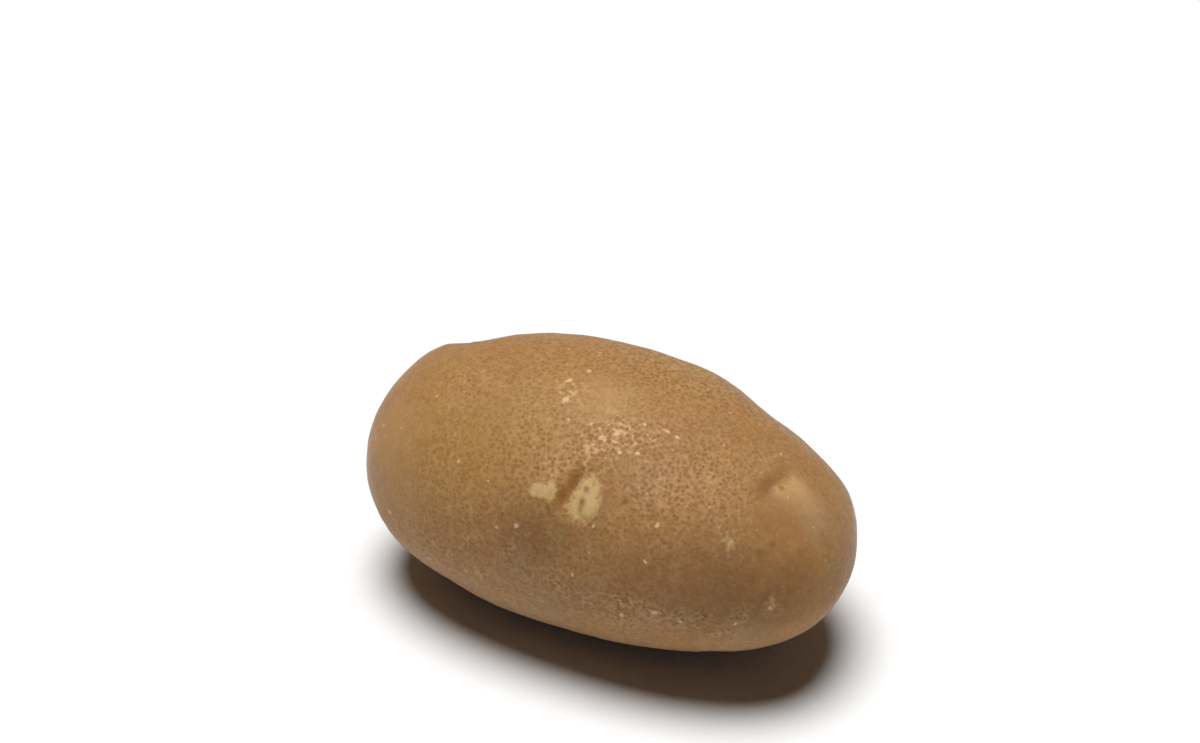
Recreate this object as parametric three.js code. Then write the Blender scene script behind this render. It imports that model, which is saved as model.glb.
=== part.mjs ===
// A russet potato, as dug: one grown solid that lies on a small flat spot.
//
// Millimetres, +Z up. X runs from the stem end (-X), where the plant held it, to the bud end (+X).
// -Y is the front. The origin is under the middle of the form's box, on the surface that it lies on.
//
// The skin is a box's grid of points blown out to a rounded form. The form tapers and bows, and then
// each point moves in or out along the form's own normal, for broad lumps, for the eyes and for the
// scar that the stem leaves.
import * as THREE from 'three';
import { mergeVertices } from 'three/addons/utils/BufferGeometryUtils.js';

// Driving dimensions of the plain form, before it bows and lumps are added.
const LENGTH = 119;
const WIDTH = 69;
const HEIGHT = 64;

// How full the form is: 2 is an ellipse, and a higher number is closer to a box.
const STEM_FULLNESS = 2.33;
const BUD_FULLNESS = 2.3;
const SECTION_FULLNESS = 2.06;

// The share that the bud end is wider and lower by than the middle.
const BUD_WIDENING = 0.04;
const BUD_LOWERING = 0.14;

// How far the middle bows to the back and upward, and how far the bud end droops.
const BACK_BOW = 2.3;
const UP_BOW = 1.75;
const DROOP = 0.9;

// How much of the underside is pressed flat.
const FLAT_DEPTH = 0.7;

// Grid steps along the length and across the other two directions.
const STEPS_ALONG = 46;
const STEPS_ACROSS = 23;

// A place on the skin is millimetres along X from the middle, and degrees round the length:
// 0 is the top, 90 the front, 180 underneath and 270 the back.
// Broad swellings and hollows, each with its reach and its rise in millimetres.
const LUMPS = [
  { along: -54, round: 10, reach: 9, rise: -0.4 },
  { along: -48, round: 338, reach: 7, rise: 0.6 },
  { along: -47, round: 190, reach: 14, rise: 0.6 },
  { along: -42, round: 334, reach: 7, rise: -1 },
  { along: -33, round: 329, reach: 11, rise: -0.9 },
  { along: -33, round: 131, reach: 9, rise: -0.8 },
  { along: -24, round: 262, reach: 16, rise: 0.9 },
  { along: 0, round: 320, reach: 14, rise: 0.8 },
  { along: 12, round: 180, reach: 20, rise: 0.9 },
  { along: 12, round: 232, reach: 14, rise: -0.8 },
  { along: 14, round: 315, reach: 8, rise: 0.7 },
  { along: 30, round: 130, reach: 12, rise: -0.4 },
  { along: 30, round: 312, reach: 7, rise: -1.3 },
  { along: 41, round: 313, reach: 9, rise: -0.95 },
  { along: 40, round: 240, reach: 13, rise: 0.9 },
  { along: 50, round: 8, reach: 6.5, rise: 0.6 },
  { along: 52, round: 297, reach: 8, rise: 0.3 },
];

// The eyes, which lie closer together towards the bud end. Size is in millimetres and sets how far
// an eye's forms reach, depth is in millimetres, and twist turns its brow away from the stem end.
const EYES = [
  { along: -40, round: 334, size: 7, depth: 0.6, twist: 0 },
  { along: -31, round: 218, size: 7, depth: 0.8, twist: 8 },
  { along: -26, round: 150, size: 6.5, depth: 0.7, twist: -6 },
  { along: -6, round: 268, size: 8, depth: 0.9, twist: -10 },
  { along: 7, round: 52.5, size: 8, depth: 0.85, twist: -20 },
  { along: 21, round: 196, size: 6.5, depth: 0.8, twist: 5 },
  { along: 30, round: 285, size: 7, depth: 1, twist: -5 },
  { along: 36, round: 150, size: 6, depth: 0.8, twist: 10 },
  { along: 47.4, round: 9.5, size: 9.5, depth: 0.65, twist: -15 },
  { along: 47, round: 248, size: 6, depth: 0.8, twist: 0 },
  { along: 50, round: 81, size: 4, depth: 0.5, twist: -10 },
  { along: 55, round: 190, size: 5, depth: 0.8, twist: -12 },
  { along: 57, round: 250, size: 3.5, depth: 0.5, twist: 6 },
];

// An eye's forms: how far ahead of the eye's middle each lies, its half length and its half width, all
// in eye sizes, and its rise as a share of the eye's depth. The groove also lies a little to the side,
// and its reach is in millimetres.
const BASIN = { ahead: 0, length: 0.74, width: 0.85, rise: -1 };
const GROOVE = { ahead: -0.55, side: -0.12, reach: 1.5, width: 0.6, rise: -0.8 };
const BROW = { ahead: -0.95, length: 0.3, width: 0.95, rise: 0.6 };
const CUSHION = { ahead: 0.05, length: 0.42, width: 0.62, rise: 0.75 };

// The groove and the brow curve round the buds: they lie this much further ahead, in eye sizes, for
// each side distance squared.
const EYE_CURVE = 0.3;

// The scar that the stem leaves, with its size and depth in millimetres: a shallow round dish with a
// low rim. Their distance from its middle and their width are in scar sizes.
const STEM_SCAR = { along: -58.9, round: 250, size: 4.6, depth: 1.3 };
const SCAR_DISH = { distance: 0, width: 0.7, rise: -1 };
const SCAR_RIM = { distance: 1.1, width: 0.3, rise: 0.35 };

const half = new THREE.Vector3(LENGTH, WIDTH, HEIGHT).multiplyScalar(0.5);

function fullness(along) {
  return along < 0 ? STEM_FULLNESS : BUD_FULLNESS;
}

function superellipse(y, z, power) {
  return (Math.abs(y) ** power + Math.abs(z) ** power) ** (1 / power);
}

function slope(value, power) {
  return Math.sign(value) * Math.abs(value) ** (power - 1);
}

// The point of the unit form that lies in a direction from its middle.
function unitFromDirection(direction) {
  const power = fullness(direction.x);
  const section = superellipse(direction.y, direction.z, SECTION_FULLNESS);
  const reach = (Math.abs(direction.x) ** power + section ** power) ** (-1 / power);
  return direction.clone().multiplyScalar(reach);
}

// The point of the unit form at a place on the skin.
function unitFromPlace({ along, round }) {
  const x = along / half.x;
  const power = fullness(x);
  const ring = (1 - Math.abs(x) ** power) ** (1 / power);
  const angle = THREE.MathUtils.degToRad(round);
  const y = -Math.sin(angle);
  const z = Math.cos(angle);
  const reach = ring / superellipse(y, z, SECTION_FULLNESS);
  return new THREE.Vector3(x, y * reach, z * reach);
}

// The tapered and bowed form, in millimetres.
function bowed(unit) {
  const middle = 1 - unit.x * unit.x;
  return new THREE.Vector3(
    unit.x * half.x,
    unit.y * half.y * (1 + BUD_WIDENING * unit.x) + BACK_BOW * middle,
    unit.z * half.z * (1 - BUD_LOWERING * unit.x) + UP_BOW * middle - DROOP * unit.x,
  );
}

// The plain form's outward normal, from the slope of its formula.
function outward(unit) {
  const power = fullness(unit.x);
  const section = superellipse(unit.y, unit.z, SECTION_FULLNESS) ** (power - SECTION_FULLNESS);
  return new THREE.Vector3(
    slope(unit.x, power) / half.x,
    (slope(unit.y, SECTION_FULLNESS) * section) / half.y,
    (slope(unit.z, SECTION_FULLNESS) * section) / half.z,
  ).normalize();
}

// Where a feature sits, with the directions ahead to the bud end, round the length, and out.
function seat(feature) {
  const unit = unitFromPlace(feature);
  const out = outward(unit);
  const ahead = new THREE.Vector3(1, 0, 0).addScaledVector(out, -out.x).normalize();
  ahead.applyAxisAngle(out, THREE.MathUtils.degToRad(feature.twist ?? 0));
  const side = new THREE.Vector3().crossVectors(out, ahead);
  return { ...feature, centre: bowed(unit), ahead, side, out };
}

const lumps = LUMPS.map(seat);
const eyes = EYES.map(seat);
const stemScar = seat(STEM_SCAR);

// A bell: 1 in the middle, falling smoothly to nothing a little past a distance of 1.
function bell(...distances) {
  return Math.exp(-distances.reduce((sum, distance) => sum + distance * distance, 0));
}

// An eye is a shallow basin with a curved groove across it, a brow on the groove's stem side, and a
// cushion that carries the buds on its other side. Both distances are in eye sizes.
function eyeRelief(ahead, side, size) {
  const arc = ahead - EYE_CURVE * side * side;
  const basin = bell((ahead - BASIN.ahead) / BASIN.length, side / BASIN.width);
  const across = (side - GROOVE.side) / GROOVE.width;
  const groove = bell(((arc - GROOVE.ahead) * size) / GROOVE.reach, across ** 2);
  const brow = bell((arc - BROW.ahead) / BROW.length, (side / BROW.width) ** 2);
  const cushion = bell((ahead - CUSHION.ahead) / CUSHION.length, side / CUSHION.width);
  return BASIN.rise * basin + GROOVE.rise * groove + BROW.rise * brow + CUSHION.rise * cushion;
}

// A round dish with a low rim. The distance is in scar sizes.
function scarRelief(distance) {
  const dish = bell((distance - SCAR_DISH.distance) / SCAR_DISH.width);
  const rim = bell((distance - SCAR_RIM.distance) / SCAR_RIM.width);
  return SCAR_DISH.rise * dish + SCAR_RIM.rise * rim;
}

// How far a point of the form moves out, in millimetres.
function rise(point, out) {
  let total = 0;
  for (const lump of lumps) {
    total += lump.rise * bell(point.distanceTo(lump.centre) / lump.reach);
  }
  for (const eye of eyes) {
    if (out.dot(eye.out) > 0) {
      const offset = point.clone().sub(eye.centre).divideScalar(eye.size);
      total += eye.depth * eyeRelief(offset.dot(eye.ahead), offset.dot(eye.side), eye.size);
    }
  }
  const scarDistance = point.distanceTo(stemScar.centre) / stemScar.size;
  return total + stemScar.depth * scarRelief(scarDistance);
}

// Evens out the angles between the grid's lines, so that the faces are all of like size.
function evened(value) {
  return Math.tan((value * Math.PI) / 4);
}

function skinPoint(gridPoint) {
  const direction = new THREE.Vector3(
    evened(gridPoint.x),
    evened(gridPoint.y),
    evened(gridPoint.z),
  ).normalize();
  const unit = unitFromDirection(direction);
  const point = bowed(unit);
  const out = outward(unit);
  return point.addScaledVector(out, rise(point, out));
}

function skinGeometry() {
  const box = new THREE.BoxGeometry(2, 2, 2, STEPS_ALONG, STEPS_ACROSS, STEPS_ACROSS);
  box.deleteAttribute('normal');
  box.deleteAttribute('uv');
  const geometry = mergeVertices(box);
  geometry.clearGroups();
  const points = geometry.getAttribute('position');
  const gridPoint = new THREE.Vector3();
  let lowest = Infinity;
  for (let i = 0; i < points.count; i += 1) {
    const point = skinPoint(gridPoint.fromBufferAttribute(points, i));
    points.setXYZ(i, point.x, point.y, point.z);
    lowest = Math.min(lowest, point.z);
  }
  const ground = lowest + FLAT_DEPTH;
  for (let i = 0; i < points.count; i += 1) {
    points.setZ(i, Math.max(points.getZ(i), ground));
  }
  geometry.computeBoundingBox();
  const middle = geometry.boundingBox.getCenter(new THREE.Vector3());
  geometry.translate(-middle.x, -middle.y, -geometry.boundingBox.min.z);
  geometry.computeVertexNormals();
  return geometry;
}

const skin = new THREE.MeshStandardMaterial({ color: 0xa9824f, roughness: 0.72, metalness: 0 });
const tuber = new THREE.Mesh(skinGeometry(), skin);
tuber.name = 'potato';

const potato = new THREE.Group();
potato.add(tuber);

export default potato;
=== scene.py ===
"""A russet potato's finish: a fine skin in place of the plain solid, a floor, soft light, a camera."""
import math
from collections import namedtuple

import bpy
import numpy as np
from mathutils import Matrix, Vector


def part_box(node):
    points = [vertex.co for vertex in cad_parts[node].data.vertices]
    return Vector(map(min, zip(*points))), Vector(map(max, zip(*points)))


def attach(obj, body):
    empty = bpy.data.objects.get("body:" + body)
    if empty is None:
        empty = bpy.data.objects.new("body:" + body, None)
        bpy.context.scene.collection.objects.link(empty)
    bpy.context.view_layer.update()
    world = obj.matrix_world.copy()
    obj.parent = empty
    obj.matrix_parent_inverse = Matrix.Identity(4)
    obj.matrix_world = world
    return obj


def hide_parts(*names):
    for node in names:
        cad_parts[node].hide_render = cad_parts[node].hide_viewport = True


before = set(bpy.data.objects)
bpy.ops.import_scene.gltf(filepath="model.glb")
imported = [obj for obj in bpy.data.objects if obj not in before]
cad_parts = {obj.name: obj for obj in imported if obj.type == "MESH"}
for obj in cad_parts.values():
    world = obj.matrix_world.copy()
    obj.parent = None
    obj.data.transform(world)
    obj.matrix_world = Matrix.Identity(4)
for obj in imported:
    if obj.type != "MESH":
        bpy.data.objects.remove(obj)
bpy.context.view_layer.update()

# A millimetre in metres, and the node that the fine skin stands for.
MM = 0.001
NODE = "potato"

# The plain form in millimetres, as in the part's source: its size and how full it is.
HALF_SIZE = np.array([119.0, 69.0, 64.0]) / 2
STEM_FULLNESS = 2.33
BUD_FULLNESS = 2.3
SECTION_FULLNESS = 2.06

# How the form widens, lowers, bows and droops, how much of the underside is pressed flat, and how
# softly the flat spot's edge turns.
BUD_WIDENING = 0.04
BUD_LOWERING = 0.14
BACK_BOW = 2.3
UP_BOW = 1.75
DROOP = 0.9
FLAT_DEPTH = 0.7
FLAT_EDGE_SOFTNESS = 0.08

# A place on the skin is millimetres along X from the middle, and degrees round the length: 0 is the
# top, 90 the front, 180 underneath and 270 the back. Lumps: along, round, reach and rise.
LUMPS = (
    (-54, 10, 9, -0.4),
    (-48, 338, 7, 0.6),
    (-47, 190, 14, 0.6),
    (-42, 334, 7, -1.0),
    (-33, 329, 11, -0.9),
    (-33, 131, 9, -0.8),
    (-24, 262, 16, 0.9),
    (0, 320, 14, 0.8),
    (12, 180, 20, 0.9),
    (12, 232, 14, -0.8),
    (14, 315, 8, 0.7),
    (30, 130, 12, -0.4),
    (30, 312, 7, -1.3),
    (41, 313, 9, -0.95),
    (40, 240, 13, 0.9),
    (50, 8, 6.5, 0.6),
    (52, 297, 8, 0.3),
)

# The eyes. Size is in millimetres and sets how far an eye's forms reach, depth is in millimetres,
# twist turns the brow away from the stem end, and paleness is how strongly the pale patches show.
Eye = namedtuple("Eye", ("along", "round", "size", "depth", "twist", "paleness"))
EYES = tuple(Eye(*row) for row in (
    (-40, 334, 7, 0.6, 0, 0.3),
    (-31, 218, 7, 0.8, 8, 0.7),
    (-26, 150, 6.5, 0.7, -6, 0.4),
    (-6, 268, 8, 0.9, -10, 0.9),
    (7, 52.5, 8, 0.85, -20, 1.0),
    (21, 196, 6.5, 0.8, 5, 0.6),
    (30, 285, 7, 1.0, -5, 0.8),
    (36, 150, 6, 0.8, 10, 0.5),
    (47.4, 9.5, 9.5, 0.65, -15, 0.0),
    (47, 248, 6, 0.8, 0, 0.8),
    (50, 81, 4, 0.5, -10, 0.15),
    (55, 190, 5, 0.8, -12, 0.6),
    (57, 250, 3.5, 0.5, 6, 0.5),
))

# An eye's forms: how far ahead of the eye's middle each lies, its half length and its half width, all
# in eye sizes, and its rise as a share of the eye's depth. The groove also lies a little to the side,
# and its half length is in millimetres.
EyeForm = namedtuple("EyeForm", ("ahead", "length", "width", "rise"))
BASIN = EyeForm(ahead=0, length=0.74, width=0.85, rise=-1)
GROOVE = EyeForm(ahead=-0.55, length=1.5, width=0.6, rise=-0.8)
GROOVE_SIDE = -0.12
BROW = EyeForm(ahead=-0.95, length=0.3, width=0.95, rise=0.6)
CUSHION = EyeForm(ahead=0.05, length=0.42, width=0.62, rise=0.75)

# The groove and the brow curve round the buds: they lie this much further ahead, in eye sizes, for
# each side distance squared. Points on the form's far side count as this far ahead of an eye.
EYE_CURVE = 0.3
FAR_AHEAD = 100

# The dark line in a groove, which is painted shade with some of the groove's own brown, in eye sizes: its
# place, its half width and how fast that grows to one side, its half length, and how the line leans back,
# by a curve on that side and a slope on the other.
LINE_AHEAD = -0.56
LINE_SIDE = -0.1
LINE_HALF_WIDTH = 0.19
LINE_WIDENING = 0.12
LINE_HALF_LENGTH = 0.62
LINE_CURVE = 0.8
LINE_SLOPE = 0.4

# The dark shade beside a cushion, in eye sizes: how far to the side it is, its half length and half
# width, and its strength.
SHADE_SIDE = -1.05
SHADE_HALF_LENGTH = 0.6
SHADE_HALF_WIDTH = 0.2
SHADE_STRENGTH = 0.5

# The teardrop, which is the pale patch on an eye's cushion, in eye sizes: its place, half length and
# half width, the share that it narrows by to one side, the least share that is left, and how it leans
# back on that side. It comes in between two values of 1 less the squares' sum.
TEARDROP_AHEAD = 0.01
TEARDROP_SIDE = -0.02
TEARDROP_HALF_LENGTH = 0.7
TEARDROP_HALF_WIDTH = 0.46
TEARDROP_NARROWING = 0.3
TEARDROP_LEAST_WIDTH = 0.2
TEARDROP_LEAN = 0.4
TEARDROP_FADE = (-0.7, 1.0)

# The pale ovals behind an eye's brow, in eye sizes: ahead, side, half length, half width and slant in
# degrees. They come in by the same kind of values.
OVAL_FADE = (-1.2, 1.0)
OVALS = (
    (-1.27, -0.58, 0.34, 0.2, 36),
    (-0.98, -0.44, 0.17, 0.3, 20),
)

# An eye's buds, in a row across its cushion: ahead and to the side in eye sizes, and strength. Each is
# a small bump with a dark tip, as are a few lone ones, whose places are along and round. An eye's buds
# show in full from this paleness on.
BUDS = ((-0.18, 0.21, 1.0), (-0.08, -0.1, 0.9), (-0.03, -0.26, 0.65), (0.01, -0.4, 0.5))
LONE_BUDS = ((44.2, 9.7), (15.5, 47.8), (45.2, 48), (47.1, 41.2), (-21, 205), (38, 262), (12, 300))
BUD_REACH = 0.95
BUD_RISE = 0.25
BUD_FULL_PALENESS = 0.5

# The scar that the stem leaves, with its size and depth in millimetres: a shallow round dish with a
# low rim. Their distance from its middle and their width are in scar sizes. A corky stub stands in
# its middle, and its reach and rise are in millimetres.
Scar = namedtuple("Scar", ("along", "round", "size", "depth"))
ScarForm = namedtuple("ScarForm", ("distance", "width", "rise"))
STEM_SCAR = Scar(along=-58.9, round=250, size=4.6, depth=1.3)
SCAR_DISH = ScarForm(distance=0, width=0.7, rise=-1)
SCAR_RIM = ScarForm(distance=1.1, width=0.3, rise=0.35)
STUB_REACH = 1.3
STUB_RISE = 0.6

# Grid steps along the length and across, which keep the skin under 200,000 triangles. Grid points
# that agree to this many digits are one.
STEPS_ALONG = 192
STEPS_ACROSS = 98
SAME_DIGITS = 6

# Fine unevenness of the skin: the size of its waves and how far they rise, in millimetres. Its random
# values lie on a grid of this many each way, which repeats.
UNEVENNESS = ((9.0, 0.12), (4.0, 0.07), (1.8, 0.035))
RANDOM_GRID = 64

# The skin's net loses this share of its strength towards the bud end and the stem end, between two
# distances from the middle. It also varies in patches: their size, their seed, their level and how
# far they leave it. Its strength stays between the last two values.
NET_END_LOSS = 0.45
NET_BUD_END = (38, 54)
NET_STEM_END = (28, 50)
NET_PATCH_SIZE = 11
NET_PATCH_SEED = 21
NET_PATCH_LEVEL = 0.85
NET_PATCH_RANGE = 0.3
NET_STRENGTHS = (0.08, 1.25)

# The lists that follow hold places on the skin, in rows of along, round, reach and strength. A
# strength below 0 takes away from what the other rows give, or from the plain skin.

# Where the net fades, or is stronger where the strength is below 0.
FADED_PLACES = (
    (26, 32, 15, -0.18),
    (21.8, 51.8, 6, 0.25),
    (18, 71, 7, 0.3),
    (12, 3, 9, 0.25),
    (17, 19, 8, 0.2),
    (-13, 25, 9, 0.3),
    (-7, 15, 7, 0.15),
    (4, 92, 12, 0.15),
    (40, 68, 12, 0.3),
    (-22, 92, 12, 0.2),
    (12, 92, 9, -0.3),
    (-50, 45, 22, 0.35),
    (54, 15, 18, 0.35),
    (34, 348, 9, 0.3),
    (-30, 352, 14, 0.5),
    (-32, 50, 16, 0.2),
    (-8, 355, 12, 0.2),
    (44.5, 12, 5, 0.5),
    (-20, 116, 20, 0.4),
    (14, 122, 18, 0.5),
    (38, 100, 16, 0.5),
    (30, 350, 12, 0.35),
    (46, 30, 10, 0.4),
    (11.9, 35.4, 4, 0.6),
    (12.1, 49.5, 4, 0.6),
)

# Where flakes of the net are bright.
FLAKE_PLACES = (
    (-3, 48, 2.2, 0.8),
    (-7, 13, 4.5, 0.9),
    (6, 27, 6, 0.7),
    (15, 21, 9, 0.5),
    (2, 38, 7, 0.35),
    (-2, 250, 12, 0.6),
    (24, 215, 10, 0.5),
)

# Where the skin is golden, or pinkish where the strength is below 0.
GOLDEN_PLACES = (
    (47, 328, 7, 0.7),
    (57, 335, 8, 0.8),
    (14, 112, 5, 0.7),
    (30, 114, 5, 0.6),
    (56, 106, 6, 0.8),
    (-52, 66, 6, 0.6),
    (-43, 98, 6, 0.6),
    (-24, 42, 17, 0.9),
    (-40, 70, 12, 0.5),
    (2, 8, 14, 0.4),
    (22, 38, 13, -0.8),
    (12, 50, 5, -0.5),
    (46, 3, 5, 1.0),
    (52, 6, 7, -0.9),
    (49, 16, 6, -0.5),
    (-20, 230, 18, 0.8),
    (28, 260, 15, -0.7),
    (20, 170, 18, 0.5),
)

# Where the skin is olive.
OLIVE_PLACES = (
    (-28, 44, 15, -0.3),
    (-34.5, 12, 4, 0.7),
    (37, 358, 5, 0.6),
    # The next row is partly painted reflection: an olive rim at the right end, over the skin's own olive.
    (57, 25, 6, 0.5),
    (2, 70, 5, 0.6),
    (11.9, 35.4, 5.5, 0.45),
    (-44, 205, 7, 0.5),
    (8, 285, 8, 0.5),
)

# Where the skin looks dusty.
DUSTY_PLACES = (
    (14, 112, 5, -0.4),
    (30, 114, 5, -0.3),
    (56, 106, 6, -0.4),
    (-52, 66, 6, -0.3),
    (-43, 98, 6, -0.3),
    (-44, 118, 12, 0.4),
    (-28, 118, 13, 0.4),
    (-10, 118, 13, 0.5),
    (8, 116, 13, 0.6),
    (26, 112, 12, 0.5),
    (44, 108, 10, 0.6),
    (-52, 60, 8, 0.4),
    (52, 8, 9, 0.6),
    (57, 340, 9, 0.2),
    (50, 90, 9, 0.3),
    (10, 70, 7, 0.4),
    (-6, 88, 8, 0.4),
    (-20, 240, 18, 0.6),
    (30, 280, 14, 0.5),
)

# Where pale scurf mottles the skin.
SCURF_PLACES = (
    (17, 100, 6, 0.5),
    (30, 96, 7, 0.6),
    (42, 98, 6, 0.5),
    (0, 94, 9, 0.3),
    (-16, 98, 10, 0.3),
    (-32, 100, 9, 0.2),
    (-9, 82, 2.2, 0.8),
    (-18, 102, 2.2, 0.8),
    (-20, 88, 1.8, 0.6),
    (-13, 109, 2, 0.6),
    (-33, 111, 2, 0.6),
    (3, 92, 2, 0.6),
    (10, 96, 2.6, 0.7),
    (18, 91, 2.2, 0.7),
    (24, 93, 2.8, 0.7),
    (31, 97, 2.4, 0.8),
    (36, 92, 2.2, 0.7),
    (44, 86, 2.4, 0.6),
    (10, 150, 14, 0.6),
    (-30, 200, 12, 0.6),
)

# Painted shade and painted light: the skin is darker here, or paler where the strength is below 0.
# The shade lies mostly in a band along the lower front and on the underside, and the light mostly on
# the top, on the left end and on the right eye's bump.
SHADE_AND_LIGHT_PLACES = (
    (6, 100, 6, 0.35),
    (-4, 78, 5, 0.25),
    (56, 108, 5, -0.3),
    (44, 112, 6, -0.25),
    (-20, 20, 12, 0.2),
    (2, 12, 9, -0.65),
    (-9, 18, 5, -0.2),
    (-24, 5, 9, -0.25),
    (-37, 80, 8, -0.5),
    (-41, 45, 8, -0.15),
    (-28, 5, 5, 0.3),
    (-24, 30, 6, 0.2),
    (9, 62, 3.5, 0.3),
    (54, 55, 7, 0.3),
    (-56, 28, 6, 0.3),
    (-12, 76, 9, 0.35),
    (-5, 65, 7, 0.4),
    (2, 74, 8, 0.4),
    (20, 74, 12, 0.45),
    (36, 62, 13, 0.4),
    (38, 84, 12, 0.3),
    (48, 62, 12, 0.5),
    (44, 22, 6, 0.2),
    (-47, 50, 10, -0.5),
    (-48, 88, 8, -0.4),
    (47, 328, 7, 0.3),
    (57, 335, 7, 0.25),
    (49, 351, 4.5, 0.2),
    (-31, 110, 6, -0.25),
    (45.6, 1, 3.5, -0.7),
    (44.5, 11, 3, -0.6),
    (42, 8, 3, -0.3),
    (49.5, 4, 6, -0.6),
    (46, 26, 6, -0.3),
    (52, 12, 6, -0.3),
    (52, 350, 8, -0.1),
    (-25, 150, 14, 0.5),
    (0, 152, 14, 0.6),
    (25, 150, 14, 0.6),
    (45, 145, 10, 0.4),
    (-34, 180, 20, 0.9),
    (-8, 185, 22, 1.0),
    (20, 185, 22, 1.0),
    (40, 180, 14, 0.7),
    (25, 240, 12, 0.4),
    (0, 300, 12, -0.4),
)

# Where pale blotches with ragged edges lie, besides the eyes' patches.
PALE_PLACES = (
    (8.6, 39.4, 1.0, 0.5),
    (-1.8, 54.0, 1.1, 0.5),
    (39.4, 48, 2.3, 0.55),
    (43.7, 11.0, 0.9, 0.6),
    (44.6, 7.0, 0.9, 0.5),
    (45.2, 0.5, 1.2, 0.3),
    (49.8, 82, 1.8, 0.45),
    (50.4, 75, 1.5, 0.3),
    (26.0, 94, 1.5, 0.5),
    (-4, 200, 2.2, 0.6),
    (36, 226, 1.8, 0.7),
    (-42, 280, 2.0, 0.6),
    (18, 262, 1.6, 0.5),
)

# Pale dabs that stand out: along, round, half length, half width, and turn away from the length in
# degrees. Each reaches this far in and out.
DAB_DEPTH = 6.0
DABS = (
    (-8.0, 8.4, 1.2, 0.8, 60),
    (-6.4, 18.0, 1.4, 0.85, 75),
    (-5.5, 0.0, 0.9, 0.6, 70),
    (1.8, 24.5, 0.6, 0.6, 0),
    (5.4, 28.1, 1.5, 0.9, 10),
    (8.2, 24.0, 1.8, 0.9, 55),
    (8.5, 28.0, 0.6, 0.6, 0),
    (4.2, 32.0, 0.8, 0.5, 20),
    (10.5, 31.0, 0.7, 0.5, 60),
    (14.2, 28.7, 0.7, 0.7, 30),
    (17.9, 14.7, 1.3, 0.5, -5),
    (20.3, 15.2, 0.8, 0.6, 0),
    (12.7, 16.3, 0.6, 0.6, 0),
    (-13.0, 75.5, 0.4, 0.6, 80),
    (-8.0, 72.0, 0.7, 0.7, 40),
    (23.7, 52.6, 0.5, 0.8, -15),
    (22.7, 68.5, 0.35, 0.5, 0),
    (10.0, 72.7, 0.3, 0.4, 0),
    (6.6, 85.0, 0.4, 0.7, 0),
    (18.2, 99.6, 0.5, 0.8, 0),
    (26.0, 93.9, 1.0, 0.6, 50),
    (31.8, 96.8, 0.7, 0.6, 20),
    (49.7, 83.2, 0.6, 0.7, 0),
    (-44.5, 95.7, 0.9, 0.7, 20),
    (40.4, 351.6, 0.4, 0.5, 0),
    (-25.5, 55.0, 0.4, 0.5, 0),
)

# Noises that make the skin uneven: waves to a millimetre, layers of detail, and roughness.
NOISES = {
    "broad": (0.06, 3, 0.5),
    "patchy": (0.16, 2, 0.5),
    "middling": (0.35, 3, 0.5),
    "mottled": (0.5, 4, 0.65),
    "ragged": (1.0, 3, 0.5),
    "grainy": (2.2, 2, 0.5),
    "ruddy": (0.14, 3, 0.8),
}

# How much of each noise is added to a mask's value, to a shift in light, to a height in millimetres
# and to a roughness.
UNEVEN = {
    "golden": {"broad": 0.3, "middling": 0.35},
    "olive": {"patchy": 0.3},
    "dusty": {"patchy": 0.25, "mottled": 0.15},
    "flake": {"ragged": 0.3, "middling": 0.2},
    "scurf": {"middling": 0.4, "mottled": 0.3},
    "scar": {"ragged": 0.6, "middling": 0.4},
    "pale": {"ragged": 0.25, "mottled": 0.15},
    "bud": {"ragged": 0.25},
    "mark": {"ragged": 0.3, "grainy": 0.2},
    "light": {"grainy": 0.02, "middling": 0.01, "patchy": 0.02},
    "height": {"grainy": 0.012, "mottled": 0.03},
    "roughness": {"grainy": 0.02},
}

# The skin's net is made of cells, this many along a millimetre, each with a pit in its middle and
# strands round it. A noise sways them: its waves to a millimetre, its layers of detail, and how far it
# moves them. A cell's depth is 0 at this distance from its middle and grows inward at this rate, and
# this much of one more noise makes it uneven. The strands have gaps, which the ragged noise opens
# between these values, and the dark line in a groove takes this share of the net away.
CELLS = 0.95
CELL_SWAY = (0.9, 2, 0.6)
CELL_EDGE = 0.64
CELL_STEEPNESS = 1.5
CELL_NOISE = (0.85, 1, 0.5)
CELL_UNEVENNESS = 0.25
STRAND_GAPS = (-1.1, 0.8)
GROOVE_NET_LOSS = 0.6

# Specks lie in some of a pattern's cells, this many along a millimetre. A speck has this level in its
# middle and falls off at this rate. A cell's chance lifts its speck as it grows between these values,
# by up to this much.
SPECK_CELLS = 0.3
SPECK_LEVEL = 0.4
SPECK_STEEPNESS = 6.0
SPECK_CHANCES = (0.82, 1.0)
SPECK_LIFT = 0.6

# Colours as they would show on screen in full light. The ground runs from pinkish to golden, by this
# level and this share of the golden places.
PINKISH = (157, 113, 71)
GOLDEN = (166, 122, 66)
GOLDEN_LEVEL = 0.45
GOLDEN_SHARE = 0.45
BROWN = (116, 74, 28)
TAN = (197, 156, 107)

# The layers of colour on the ground: each one's colour, the two values between which its mask comes
# in, and how much it covers there.
Layer = namedtuple("Layer", ("colour", "fade", "cover"))
OLIVE = Layer(colour=(151, 123, 70), fade=(0.1, 0.9), cover=0.8)
DUSTY = Layer(colour=(154, 127, 93), fade=(0.1, 1.3), cover=0.8)
PIT = Layer(colour=BROWN, fade=(0.3, 1.1), cover=0.7)
STRAND = Layer(colour=TAN, fade=(0.5, 0.05), cover=0.6)
FLAKE = Layer(colour=(232, 193, 147), fade=(0.3, 1.2), cover=0.6)
SCURF = Layer(colour=(184, 150, 108), fade=(0.2, 1.0), cover=0.75)
SCURF_PIT = SCURF._replace(colour=BROWN, cover=0.8)
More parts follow.
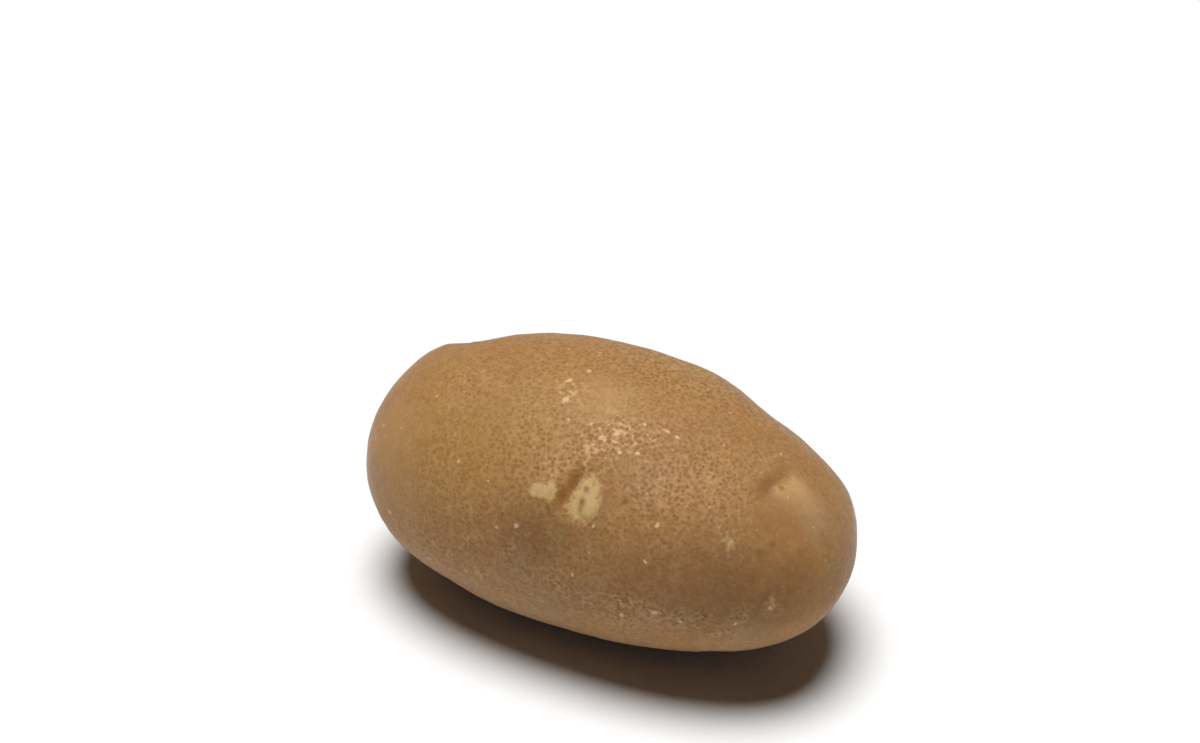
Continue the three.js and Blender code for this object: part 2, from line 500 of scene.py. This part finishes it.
# Painted shade, a darker layer, and painted light, a paler one, over the places listed for them.
PAINTED_SHADE = Layer(colour=(110, 76, 46), fade=(0, 1.4), cover=0.8)
PAINTED_LIGHT = PAINTED_SHADE._replace(colour=TAN)
SCAR = Layer(colour=(104, 72, 38), fade=(5.5, 2.0), cover=0.75)
SCAR_CORK = Layer(colour=(150, 116, 76), fade=(2.4, 1.2), cover=0.7)
SCAR_RING = Layer(colour=TAN, fade=(2.0, 2.9), cover=0.5)
PALE = Layer(colour=(197, 169, 111), fade=(0.1, 0.95), cover=0.85)
BUD = Layer(colour=(122, 90, 36), fade=(0.1, 1.1), cover=0.8)
MARK = Layer(colour=(222, 184, 142), fade=(0.0, 0.6), cover=0.8)

# The ragged noise breaks up the olive between these values. Flakes start between these values of their
# places, and gather by one share everywhere there and by another on the strands. The scar's layers
# come in by the distance from its middle, in millimetres, and its ring ends between these distances.
OLIVE_GAPS = (-1.5, 0.8)
FLAKE_EDGE = (0.05, 0.4)
FLAKE_NET = 0.3
FLAKE_STRAND = 0.6
SCAR_RING_END = (4.4, 3.2)

# The dark line's colour, cover and unevenness: painted shade in a groove, with some of the groove's own
# brown.
GROOVE_SHADE_BROWN = (136, 86, 34)
GROOVE_SHADE_COVER = 0.75
GROOVE_SHADE_UNEVENNESS = 0.15

# The pale patches turn warm between these values of the noises, and their cover is uneven by this.
PALE_WARM = (210, 171, 124)
PALE_WARMTH = (-0.8, 0.8)
PALE_UNEVENNESS = 0.15

# How far the skin's light shifts with the mottled noise, on plain skin and more on scurf, and the red,
# green and blue of that shift. The hue shifts by this much of the ruddy noise.
LIGHT_MOTTLE = 0.03
LIGHT_SCURF_MOTTLE = 0.03
LIGHT_SHIFT = (0.66, 0.46, 0.28)
RUDDY_SHARE = 0.008
RUDDY_SHIFT = (1.0, -0.3, 0.0)

# How far the skin's finest forms rise or sink, in millimetres.
STRAND_RISE = 0.05
PIT_DEPTH = 0.06
MARK_RISE = 0.05
SCURF_RISE = 0.03

# How rough the skin is, how much rougher its pits and smoother its pale patches are, and its gloss.
ROUGHNESS = 0.62
PIT_ROUGHNESS = 0.1
PALE_SMOOTHNESS = 0.06
SPECULAR = 0.2
SHEEN = 0.25
SHEEN_ROUGHNESS = 0.3

# The camera's angle, its lens and sensor, and, in millimetres, its distance, the point that the middle
# of its picture looks at, and how near it sees.
AZIMUTH = math.radians(25.2)
ELEVATION = math.radians(35)
LENS = 85
SENSOR_WIDTH = 36
CAMERA_DISTANCE = 657.3
AIM = Vector((-8.7, 12.8, 55.1))
NEAREST_SEEN = 10

# A large soft lamp overhead, a little to the left, and a dim bluish room with a pale band round its
# horizon, which ends between these heights of a unit sphere.
TO_LAMP = Vector((-0.076, 0.006, 0.997))
LAMP_SPREAD = math.radians(32)
LAMP_STRENGTH = 3.64
ROOM_LIGHT = (0.007, 0.011, 0.016, 1)
HORIZON_LIGHT = (0.25, 0.25, 0.25, 1)
HORIZON_TOP = (0.1, 0.16)

# The floor's reach from the middle and its gap under the potato, in millimetres, and its colour.
FLOOR_REACH = 10000
FLOOR_GAP = 0.05
FLOOR_WHITE = (0.87, 0.87, 0.87, 1)


def bell(*distances):
    """1 in the middle, falling smoothly to nothing a little past a distance of 1.

    The formula is e to minus the sum of the squares.
    """
    return np.exp(-sum(distance * distance for distance in distances))


def ease(value, low, high):
    """0 up to low and 1 from high on, with a smooth step between: 3 t squared less 2 t cubed."""
    share = np.clip((value - low) / (high - low), 0, 1)
    return share * share * (3 - 2 * share)


def wander(points, wave, seed):
    """Smooth random values from -1 to 1: random numbers at cubes' corners, blended by a smooth step."""
    table = np.random.default_rng(seed).uniform(-1, 1, (RANDOM_GRID,) * 3)
    scaled = points / wave
    corner = np.floor(scaled).astype(int)
    part = scaled - corner
    weight = part * part * (3 - 2 * part)
    total = 0
    for step in np.ndindex(2, 2, 2):
        index = (corner + step) % RANDOM_GRID
        share = np.where(step, weight, 1 - weight).prod(axis=-1)
        total = total + share * table[index[..., 0], index[..., 1], index[..., 2]]
    return total


def fullness(along):
    """How full the form is on the stem end's side and on the bud end's."""
    return np.where(along < 0, STEM_FULLNESS, BUD_FULLNESS)


def superellipse(y, z, power):
    """The size of a section that passes through (y, z): the powers' sum, to one over the power."""
    return (np.abs(y) ** power + np.abs(z) ** power) ** (1 / power)


def unit_from_direction(direction):
    """The unit form's point in a direction: the direction times the reach that brings it to the form."""
    power = fullness(direction[..., 0])
    section = superellipse(direction[..., 1], direction[..., 2], SECTION_FULLNESS)
    reach = superellipse(direction[..., 0], section, power) ** -1
    return direction * reach[..., None]


def unit_from_place(along, round_degrees):
    """The unit form's point at a place: a ring that shrinks towards the ends, and an angle round it."""
    x = along / HALF_SIZE[0]
    power = fullness(x)
    ring = (1 - np.abs(x) ** power) ** (1 / power)
    angle = np.radians(round_degrees)
    y, z = -np.sin(angle), np.cos(angle)
    reach = ring / superellipse(y, z, SECTION_FULLNESS)
    return np.stack([x, y * reach, z * reach], axis=-1)


def bowed(unit):
    """The form in millimetres: the unit form, scaled, tapered to the bud end, bowed and drooping."""
    x, y, z = np.moveaxis(unit, -1, 0)
    middle = 1 - x * x
    return np.stack([
        x * HALF_SIZE[0],
        y * HALF_SIZE[1] * (1 + BUD_WIDENING * x) + BACK_BOW * middle,
        z * HALF_SIZE[2] * (1 - BUD_LOWERING * x) + UP_BOW * middle - DROOP * x,
    ], axis=-1)


def outward(unit):
    """The plain form's outward normal: the slope of its formula along each axis, at length 1."""
    power = fullness(unit[..., 0])
    section = superellipse(unit[..., 1], unit[..., 2], SECTION_FULLNESS)
    across = np.full_like(power, SECTION_FULLNESS - 1)
    slopes = np.sign(unit) * np.abs(unit) ** np.stack([power - 1, across, across], axis=-1)
    slopes[..., 1:] *= (section ** (power - SECTION_FULLNESS))[..., None]
    slopes /= HALF_SIZE
    return slopes / np.linalg.norm(slopes, axis=-1, keepdims=True)


def seat(along, round_degrees, twist=0):
    """A place's centre, with the directions ahead to the bud end, round the length, and out."""
    unit = unit_from_place(along, round_degrees)
    out = outward(unit)
    ahead = np.array([1.0, 0.0, 0.0]) - out[0] * out
    ahead /= np.linalg.norm(ahead)
    angle = np.radians(twist)
    ahead = np.cos(angle) * ahead + np.sin(angle) * np.cross(out, ahead)
    return bowed(unit), ahead, np.cross(out, ahead), out


def box_directions():
    """Unit directions to the points of a box's six face grids, and the quads that join them.

    Each face is a grid over (u, v) from -1 to 1, and the tangent of a quarter of pi times each evens
    out the angles between its lines. Points on the box's edges are shared by its faces.
    """
    steps = (STEPS_ALONG, STEPS_ACROSS, STEPS_ACROSS)
    lines = [np.tan(np.linspace(-1, 1, number + 1) * math.pi / 4) for number in steps]
    points, quads, count = [], [], 0
    for axis in range(3):
        first, second = (axis + 1) % 3, (axis + 2) % 3
        for sign in (-1, 1):
            face = np.empty((len(lines[first]), len(lines[second]), 3))
            face[..., axis] = sign
            face[..., first] = lines[first][:, None]
            face[..., second] = lines[second][None, :]
            number = count + np.arange(face[..., 0].size).reshape(face.shape[:2])
            ring = (number[:-1, :-1], number[1:, :-1], number[1:, 1:], number[:-1, 1:])
            quads.append(np.stack(ring[::sign], axis=-1).reshape(-1, 4))
            points.append(face.reshape(-1, 3))
            count += face[..., 0].size
    points = np.concatenate(points)
    rounded = points.round(SAME_DIGITS)
    kept, shared = np.unique(rounded, axis=0, return_index=True, return_inverse=True)[1:]
    directions = points[kept]
    directions /= np.linalg.norm(directions, axis=1, keepdims=True)
    return directions, shared.reshape(-1)[np.concatenate(quads)]


def gathered(points, places):
    """A field that gathers round places: for each, its strength times a bell of distance over reach."""
    total = np.zeros(len(points))
    for along, round_degrees, reach, strength in places:
        centre = seat(along, round_degrees)[0]
        total += strength * bell(np.linalg.norm(points - centre, axis=1) / reach)
    return total


def eye_offsets(points, out, eye):
    """How far points lie ahead of an eye and to its side, in eye sizes.

    The form's far side, whose points face away from the eye, counts as far ahead.
    """
    centre, ahead, side, eye_out = seat(eye.along, eye.round, eye.twist)
    offset = (points - centre) / eye.size
    away = np.where(out @ eye_out > 0, 0, FAR_AHEAD)
    return offset @ ahead + away, offset @ side


def eye_arc(ahead, side):
    """The distance ahead of an arc round the buds: ahead, less the curve times side squared."""
    return ahead - EYE_CURVE * side * side


def eye_relief(ahead, side, size):
    """An eye's rise in depths: a basin, a groove and a brow along an arc, and a cushion for the buds.

    Each is a bell. The basin and the cushion take ahead over length and side over width, and the
    groove and the brow take the arc over length and the square of side over width.
    """
    arc = eye_arc(ahead, side)
    basin = bell((ahead - BASIN.ahead) / BASIN.length, side / BASIN.width)
    across = (side - GROOVE_SIDE) / GROOVE.width
    groove = bell((arc - GROOVE.ahead) * size / GROOVE.length, across ** 2)
    brow = bell((arc - BROW.ahead) / BROW.length, (side / BROW.width) ** 2)
    cushion = bell((ahead - CUSHION.ahead) / CUSHION.length, side / CUSHION.width)
    return BASIN.rise * basin + GROOVE.rise * groove + BROW.rise * brow + CUSHION.rise * cushion


def scar_distance(points):
    """How far points are from the middle of the stem's scar, in millimetres."""
    return np.linalg.norm(points - seat(STEM_SCAR.along, STEM_SCAR.round)[0], axis=1)


def scar_relief(distance):
    """The stem scar's rise in depths, over the distance in scar sizes: a round dish with a low rim."""
    dish = bell((distance - SCAR_DISH.distance) / SCAR_DISH.width)
    rim = bell((distance - SCAR_RIM.distance) / SCAR_RIM.width)
    return SCAR_DISH.rise * dish + SCAR_RIM.rise * rim


def broad_rise(points, out):
    """How far the skin moves out, in millimetres, as in the part's source: lumps, eyes and scar."""
    rise = gathered(points, LUMPS)
    for eye in EYES:
        rise += eye.depth * eye_relief(*eye_offsets(points, out, eye), eye.size)
    return rise + STEM_SCAR.depth * scar_relief(scar_distance(points) / STEM_SCAR.size)


def bud_field(points, out):
    """1 at the middle of each bud, falling off as a bell of the distance over its reach."""
    field = gathered(points, [(*place, BUD_REACH, 1.0) for place in LONE_BUDS])
    for eye in EYES:
        shown_share = min(1, eye.paleness / BUD_FULL_PALENESS)
        reach = BUD_REACH / eye.size
        ahead, side = eye_offsets(points, out, eye)
        for bud_ahead, bud_side, strength in BUDS:
            bud = bell((ahead - bud_ahead) / reach, (side - bud_side) / reach)
            field += shown_share * strength * bud
    return field


def fine_rise(points, out):
    """The skin's own unevenness, as waves of random values, the buds' bumps, and the scar's stub."""
    rise = BUD_RISE * bud_field(points, out) + STUB_RISE * bell(scar_distance(points) / STUB_REACH)
    for seed, (wave, height) in enumerate(UNEVENNESS):
        rise += height * wander(points, wave, seed)
    return rise


def pressed_flat(points, ground):
    """Points kept above the ground by a soft limit.

    The formula is the ground plus the softness times the log of 1 plus e to the height over it.
    """
    height = (points[:, 2] - ground) / FLAT_EDGE_SOFTNESS
    flat = points.copy()
    flat[:, 2] = ground + FLAT_EDGE_SOFTNESS * np.logaddexp(0, height)
    return flat


def pale_field(points, out):
    """Pale patches, 1 inside: each eye's teardrop and ovals, as 1 less the squares' sum, and blotches."""
    field = np.zeros(len(points))
    for eye in EYES:
        ahead, side = eye_offsets(points, out, eye)
        half_width = TEARDROP_HALF_WIDTH * np.maximum(1 - TEARDROP_NARROWING * side, TEARDROP_LEAST_WIDTH)
        middle = TEARDROP_AHEAD - TEARDROP_LEAN * np.maximum(side, 0)
        along = (side - TEARDROP_SIDE) / TEARDROP_HALF_LENGTH
        teardrop = 1 - ((ahead - middle) / half_width) ** 2 - along ** 2
        field = np.maximum(field, eye.paleness * ease(teardrop, *TEARDROP_FADE))
        for oval_ahead, oval_side, half_length, half_width, slant in OVALS:
            cos, sin = math.cos(math.radians(slant)), math.sin(math.radians(slant))
            length = (ahead - oval_ahead) * cos + (side - oval_side) * sin
            width = (side - oval_side) * cos - (ahead - oval_ahead) * sin
            oval = 1 - (length / half_length) ** 2 - (width / half_width) ** 2
            field = np.maximum(field, eye.paleness ** 2 * ease(oval, *OVAL_FADE))
    return np.maximum(field, np.clip(gathered(points, PALE_PLACES), 0, 1))


def groove_shade_field(points, out):
    """Painted shade: the dark lines in the eyes' grooves, as a bell across the arc, and the shade by the
    cushions.
    """
    field = np.zeros(len(points))
    for eye in EYES:
        ahead, side = eye_offsets(points, out, eye)
        lean = LINE_CURVE * np.maximum(side, 0) ** 2 - LINE_SLOPE * np.minimum(side, 0)
        width = LINE_HALF_WIDTH + LINE_WIDENING * np.maximum(side, 0)
        across = (eye_arc(ahead, side) - LINE_AHEAD + lean) / width
        line = bell(across, ((side - LINE_SIDE) / LINE_HALF_LENGTH) ** 2)
        shade = bell(ahead / SHADE_HALF_LENGTH, (side - SHADE_SIDE) / SHADE_HALF_WIDTH)
        field = np.maximum(field, eye.depth * np.maximum(line, SHADE_STRENGTH * shade))
    return field


def net_field(points, pale):
    """How strong the net is: 1, less what it loses at the ends and where it fades, times its patches.

    It is then held between two strengths, and weaker by the share of the pale patches.
    """
    ends = ease(points[:, 0], *NET_BUD_END) + ease(-points[:, 0], *NET_STEM_END)
    patchy = NET_PATCH_LEVEL + NET_PATCH_RANGE * wander(points, NET_PATCH_SIZE, NET_PATCH_SEED)
    strength = (1 - NET_END_LOSS * ends - gathered(points, FADED_PLACES)) * patchy
    return np.clip(strength, *NET_STRENGTHS) * (1 - pale)


def skin_shape():
    """The skin's points in metres, its quads, and the fields that its material reads.

    The last thing returned is where the form's own middle lies, in millimetres.
    """
    directions, quads = box_directions()
    unit = unit_from_direction(directions)
    plain, out = bowed(unit), outward(unit)
    broad = plain + out * broad_rise(plain, out)[:, None]
    ground = broad[:, 2].min() + FLAT_DEPTH
    fine = pressed_flat(broad + out * fine_rise(plain, out)[:, None], ground)
    low, high = broad.min(axis=0), broad.max(axis=0)
    low[2] = ground
    cad_low, cad_high = (np.array(corner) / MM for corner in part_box(NODE))
    shift = (cad_low + cad_high - low - high) / 2
    shift[2] = cad_low[2] - ground
    pale = pale_field(plain, out)
    fields = {
        "pale": pale,
        # Painted shade in the eyes' grooves, with some of the grooves' own brown.
        "groove": groove_shade_field(plain, out),
        "bud": bud_field(plain, out),
        "net": net_field(plain, pale),
        "flake": gathered(plain, FLAKE_PLACES),
        "golden": gathered(plain, GOLDEN_PLACES),
        # Painted shade and painted light.
        "shade_and_light": gathered(plain, SHADE_AND_LIGHT_PLACES),
        "olive": gathered(plain, OLIVE_PLACES),
        "scurf": gathered(plain, SCURF_PLACES),
        "dusty": gathered(plain, DUSTY_PLACES),
        "scar": scar_distance(plain),
    }
    return (fine + shift) * MM, quads, fields, shift


def new_mesh(name, points, faces, fields=None):
    """A mesh object at the origin, smooth, with a float attribute on its points for each field."""
    mesh = bpy.data.meshes.new(name)
    mesh.from_pydata(points.tolist(), [], faces.tolist())
    for field, values in (fields or {}).items():
        attribute = mesh.attributes.new(field, "FLOAT", "POINT")
        attribute.data.foreach_set("value", values.astype(np.float32))
    mesh.shade_smooth()
    piece = bpy.data.objects.new(name, mesh)
    bpy.context.scene.collection.objects.link(piece)
    return piece


class Shade:
    """A socket of a shader tree. Python's operators on it add one Math node each."""

    def __init__(self, tree, socket):
        self.tree = tree
        self.socket = socket

    def math(self, operation, first, second):
        return self.tree.node("ShaderNodeMath", {"operation": operation}, {0: first, 1: second})

    def __add__(self, other):
        return self.math("ADD", self, other)

    def __sub__(self, other):
        return self.math("SUBTRACT", self, other)

    def __rsub__(self, other):
        return self.math("SUBTRACT", other, self)

    def __mul__(self, other):
        return self.math("MULTIPLY", self, other)

    __radd__ = __add__
    __rmul__ = __mul__

    def __abs__(self):
        return self.tree.node("ShaderNodeMath", {"operation": "ABSOLUTE"}, {0: self})

    def above(self, other):
        """The greater of the two."""
        return self.math("MAXIMUM", self, other)

    def step(self, low, high):
        """0 up to low and 1 from high on, smooth between. It falls instead where low is above high."""
        return self.tree.node(
            "ShaderNodeMapRange",
            {"interpolation_type": "SMOOTHSTEP"},
            {0: self, 1: low, 2: high},
        )


class ShaderTree:
    """The nodes of a material or a world, with one method that adds any of them, and its noises."""

    def __init__(self, owner):
        owner.use_nodes = True
        self.owner = owner
        self.nodes = owner.node_tree.nodes
        self.links = owner.node_tree.links
        self.nodes.clear()
        self.noises = {}

    def node(self, kind, settings=None, sockets=None, output=0):
        """Adds a node, sets its settings, then its sockets to values or links, and returns one output."""
        made = self.nodes.new(kind)
        for name, value in (settings or {}).items():
            setattr(made, name, value)
        for key, value in (sockets or {}).items():
            if isinstance(value, Shade):
                self.links.new(value.socket, made.inputs[key])
            else:
                made.inputs[key].default_value = value
        return Shade(self, made.outputs[output]) if made.outputs else made

    def field(self, name):
        """A float attribute of the mesh."""
        return self.node("ShaderNodeAttribute", {"attribute_name": name}, output="Fac")

    def noise(self, place, scale, detail, roughness):
        """Smooth random values round 0, mostly from -1 to 1, over a place in millimetres.

        The node's own values are mostly from 0.25 to 0.75.
        """
        sockets = {"Vector": place, "Scale": scale, "Detail": detail, "Roughness": roughness}
        return (self.node("ShaderNodeTexNoise", None, sockets) - 0.5) * 4.0

    def uneven(self, name, value):
        """A value with its shares of the tree's noises added."""
        for noise, share in UNEVEN[name].items():
            value = value + self.noises[noise] * share
        return value

    def swayed(self, place, scale, detail, amount):
        """A place moved by smooth random steps, up to about a third of the amount."""
        sockets = {"Vector": place, "Scale": scale, "Detail": detail}
        sway = self.node("ShaderNodeTexNoise", None, sockets, output=1)
        return self.node(
            "ShaderNodeVectorMath",
            {"operation": "MULTIPLY_ADD"},
            {0: sway, 1: (amount,) * 3, 2: place},
        )

    def dab(self, place, along, round_degrees, half_length, half_width, turn):
        """An oval at a place on the skin: 1 in its middle, 0 at its edge, and below 0 outside."""
        centre, ahead, side, out = (Vector(part) for part in seat(along, round_degrees, turn))
        local = self.node(
            "ShaderNodeMapping",
            {"vector_type": "TEXTURE"},
            {
                "Vector": place,
                "Location": centre,
                "Rotation": Matrix((ahead, side, out)).transposed().to_euler(),
                "Scale": (half_length, half_width, DAB_DEPTH),
            },
        )
        return 1.0 - self.node("ShaderNodeVectorMath", {"operation": "LENGTH"}, {0: local}, output=1)

    def moved(self, colour, amount, shift):
        """A colour moved by an amount of a shift in red, green and blue."""
        return self.node(
            "ShaderNodeVectorMath",
            {"operation": "MULTIPLY_ADD"},
            {0: shift, 1: amount, 2: colour},
        )

    def blend(self, share, first, second):
        """One colour where the share is 0, another where it is 1.

        A Mix node has sockets for each kind of data: colours go into 6 and 7, and come out of 2.
        """
        sockets = {0: share, 6: first, 7: second}
        return self.node("ShaderNodeMix", {"data_type": "RGBA"}, sockets, output=2)

    def covered(self, colour, mask, layer):
        """A colour with a layer over it, by the layer's cover where the mask is 1."""
        return self.blend(mask * layer.cover, colour, shown(*layer.colour))

    def finish(self, **sockets):
        """Ends the tree in a Principled shader with these sockets, and returns the tree's owner."""
        named = {name.replace("_", " "): value for name, value in sockets.items()}
        surface = self.node("ShaderNodeBsdfPrincipled", None, named)
        self.node("ShaderNodeOutputMaterial", None, {"Surface": surface})
        return self.owner


def shown(red, green, blue):
    """A colour from its values on screen, 0 to 255, as the light they stand for on the sRGB curve."""
    screen = np.array([red, green, blue]) / 255
    light = np.where(screen <= 0.04045, screen / 12.92, ((screen + 0.055) / 1.055) ** 2.4)
    return (*light.tolist(), 1.0)


def net_masks(tree, place):
    """Where the net's strands and its pits are, by the depth of its cells."""
    swayed = tree.swayed(place, *CELL_SWAY)
    distance = tree.node(
        "ShaderNodeTexVoronoi",
        {"feature": "F1"},
        {"Vector": swayed, "Scale": CELLS, "Randomness": 1.0},
    )
    unevenness = abs(tree.noise(swayed, *CELL_NOISE)) * CELL_UNEVENNESS
    depth = (CELL_EDGE - distance) * CELL_STEEPNESS + unevenness
    strand = depth.step(*STRAND.fade) * tree.noises["ragged"].step(*STRAND_GAPS)
    return strand, depth.step(*PIT.fade)


def mark_mask(tree, place):
    """Where pale marks are: the dabs, and specks in the cells whose random red gives them a chance."""
    cells = {"Vector": place, "Scale": SPECK_CELLS}
    distance = tree.node("ShaderNodeTexVoronoi", {"feature": "F1"}, cells)
    random_colour = tree.node("ShaderNodeTexVoronoi", {"feature": "F1"}, cells, output=1)
    chance = tree.node("ShaderNodeSeparateColor", None, {0: random_colour})
    mark = SPECK_LEVEL - distance * SPECK_STEEPNESS + chance.step(*SPECK_CHANCES) * SPECK_LIFT
    for dab in DABS:
        mark = mark.above(tree.dab(place, *dab))
    return tree.uneven("mark", mark).step(*MARK.fade)


def ground_colour(tree):
    """The skin's broad areas of colour: pinkish to golden, with olive and dusty areas over it."""
    tone = tree.uneven("golden", tree.field("golden") * GOLDEN_SHARE + GOLDEN_LEVEL)
    colour = tree.blend(tone, shown(*PINKISH), shown(*GOLDEN))
    olive = tree.uneven("olive", tree.field("olive")).step(*OLIVE.fade)
    colour = tree.covered(colour, olive * tree.noises["ragged"].step(*OLIVE_GAPS), OLIVE)
    dusty = tree.uneven("dusty", tree.field("dusty")).step(*DUSTY.fade)
    return tree.covered(colour, dusty, DUSTY)


def netted_colour(tree, colour, net, strand, pit, scurf):
    """A colour under the net's pits and strands, its flakes, scurf, and painted shade and painted light.
    """
    colour = tree.covered(colour, pit * net, PIT)
    colour = tree.covered(colour, strand * net, STRAND)
    flaky = tree.field("flake")
    flakes = tree.uneven("flake", flaky * (FLAKE_NET + FLAKE_STRAND * strand)).step(*FLAKE.fade)
    colour = tree.covered(colour, flakes * flaky.step(*FLAKE_EDGE), FLAKE)
    colour = tree.covered(colour, scurf * pit, SCURF_PIT)
    colour = tree.covered(colour, scurf * strand, SCURF)
    # Painted shade where the field is above 0, and painted light where it is below 0.
    shade_and_light = tree.field("shade_and_light")
    colour = tree.covered(colour, shade_and_light.step(*PAINTED_SHADE.fade), PAINTED_SHADE)
    return tree.covered(colour, (shade_and_light * -1.0).step(*PAINTED_LIGHT.fade), PAINTED_LIGHT)


def scarred_colour(tree, colour):
    """A colour under the stem scar's dark dish, its corky middle and its pale ring."""
    scar = tree.uneven("scar", tree.field("scar"))
    colour = tree.covered(colour, scar.step(*SCAR.fade), SCAR)
    colour = tree.covered(colour, scar.step(*SCAR_CORK.fade), SCAR_CORK)
    return tree.covered(colour, scar.step(*SCAR_RING.fade) * scar.step(*SCAR_RING_END), SCAR_RING)


def eyed_colour(tree, colour, patch):
    """A colour under the eyes' pale patches, which are warm in places, and the buds' dark tips."""
    warmth = (tree.noises["middling"] + tree.noises["patchy"]).step(*PALE_WARMTH)
    pale = tree.blend(warmth, shown(*PALE.colour), shown(*PALE_WARM))
    cover = PALE.cover + PALE_UNEVENNESS * tree.noises["mottled"]
    colour = tree.blend(patch * cover, colour, pale)
    bud = tree.uneven("bud", tree.field("bud")).step(*BUD.fade)
    return tree.covered(colour, bud, BUD)


def skin_material(middle):
    """Russet skin: brown ground in several tones, a raised tan net, pits, flakes, pale eyes and marks.

    Places are in millimetres from the form's middle.
    """
    tree = ShaderTree(bpy.data.materials.new("russet_skin"))
    metres = tree.node("ShaderNodeTexCoord", output="Object")
    place = tree.node(
        "ShaderNodeVectorMath",
        {"operation": "MULTIPLY_ADD"},
        {0: metres, 1: (1 / MM,) * 3, 2: -Vector(middle)},
    )
    tree.noises = {name: tree.noise(place, *settings) for name, settings in NOISES.items()}
    # The groove field is painted shade in the eyes' grooves and by the cushions, with some of the
    # grooves' own brown.
    groove = tree.field("groove")
    net = tree.field("net") * (1.0 - GROOVE_NET_LOSS * groove)
    strand, pit = net_masks(tree, place)
    scurfy = tree.field("scurf")
    scurf = tree.uneven("scurf", scurfy).step(*SCURF.fade)
    patch = tree.uneven("pale", tree.field("pale")).step(*PALE.fade)
    mark = mark_mask(tree, place)

    colour = netted_colour(tree, ground_colour(tree), net, strand, pit, scurf)
    line = groove * (GROOVE_SHADE_COVER + GROOVE_SHADE_UNEVENNESS * tree.noises["middling"])
    colour = tree.blend(line, colour, shown(*GROOVE_SHADE_BROWN))
    colour = eyed_colour(tree, scarred_colour(tree, colour), patch)
    colour = tree.covered(colour, mark, MARK)
    mottle = tree.noises["mottled"] * (LIGHT_MOTTLE + LIGHT_SCURF_MOTTLE * scurfy)
    colour = tree.moved(colour, tree.uneven("light", mottle), LIGHT_SHIFT)
    colour = tree.moved(colour, tree.noises["ruddy"] * RUDDY_SHARE, RUDDY_SHIFT)

    relief = net * (STRAND_RISE * strand - PIT_DEPTH * pit) + MARK_RISE * mark + SCURF_RISE * scurf
    height = tree.uneven("height", relief)
    bump = tree.node("ShaderNodeBump", None, {"Strength": 1.0, "Distance": MM, "Height": height})
    roughness = ROUGHNESS + PIT_ROUGHNESS * pit * net - PALE_SMOOTHNESS * patch
    return tree.finish(
        Base_Color=colour,
        Roughness=tree.uneven("roughness", roughness),
        Normal=bump,
        Specular_IOR_Level=SPECULAR,
        Sheen_Weight=SHEEN,
        Sheen_Roughness=SHEEN_ROUGHNESS,
    )


def floor_material():
    """A matt white floor."""
    tree = ShaderTree(bpy.data.materials.new("white_floor"))
    return tree.finish(Base_Color=FLOOR_WHITE, Roughness=1.0, Specular_IOR_Level=0.0)


def make_potato():
    """The skin, which stands for the plain solid."""
    points, quads, fields, middle = skin_shape()
    potato = new_mesh("potato_skin", points, quads, fields)
    potato.data.materials.append(skin_material(middle))
    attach(potato, "root")
    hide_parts(NODE)


def make_floor():
    """A square of floor just under the potato, far wider than any view of it."""
    corners = np.array([[-1, -1, 0], [1, -1, 0], [1, 1, 0], [-1, 1, 0]]) * FLOOR_REACH * MM
    corners[:, 2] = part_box(NODE)[0].z - FLOOR_GAP * MM
    floor = new_mesh("floor", corners, np.array([[0, 1, 2, 3]]))
    floor.data.materials.append(floor_material())


def room_world():
    """The room's light: by the height of a direction, pale near the horizon and dim above."""
    tree = ShaderTree(bpy.data.worlds.new("room"))
    direction = tree.node("ShaderNodeTexCoord", output="Generated")
    height = tree.node("ShaderNodeSeparateXYZ", None, {0: direction}, output=2)
    light = tree.blend(height.step(*HORIZON_TOP), HORIZON_LIGHT, ROOM_LIGHT)
    surface = tree.node("ShaderNodeBackground", None, {"Color": light, "Strength": 1.0})
    tree.node("ShaderNodeOutputWorld", None, {"Surface": surface})
    return tree.owner


def make_light():
    """A soft lamp overhead, as a wide far disc, and the room."""
    lamp = bpy.data.lights.new("overhead", "SUN")
    lamp.energy = LAMP_STRENGTH
    lamp.angle = LAMP_SPREAD
    holder = bpy.data.objects.new("overhead", lamp)
    holder.rotation_euler = TO_LAMP.to_track_quat("Z", "Y").to_euler()
    bpy.context.scene.collection.objects.link(holder)
    bpy.context.scene.world = room_world()
    bpy.context.scene.view_settings.view_transform = "Standard"


def make_camera():
    """A long lens that looks down on the potato's front from its bud end's side."""
    back = Vector((
        math.sin(AZIMUTH) * math.cos(ELEVATION),
        -math.cos(AZIMUTH) * math.cos(ELEVATION),
        math.sin(ELEVATION),
    ))
    camera = bpy.data.cameras.new("camera")
    camera.lens = LENS
    camera.sensor_width = SENSOR_WIDTH
    camera.clip_start = NEAREST_SEEN * MM
    holder = bpy.data.objects.new("camera", camera)
    holder.location = (AIM + back * CAMERA_DISTANCE) * MM
    holder.rotation_euler = back.to_track_quat("Z", "Y").to_euler()
    bpy.context.scene.collection.objects.link(holder)
    bpy.context.scene.camera = holder


make_camera()
make_potato()
make_floor()
make_light()
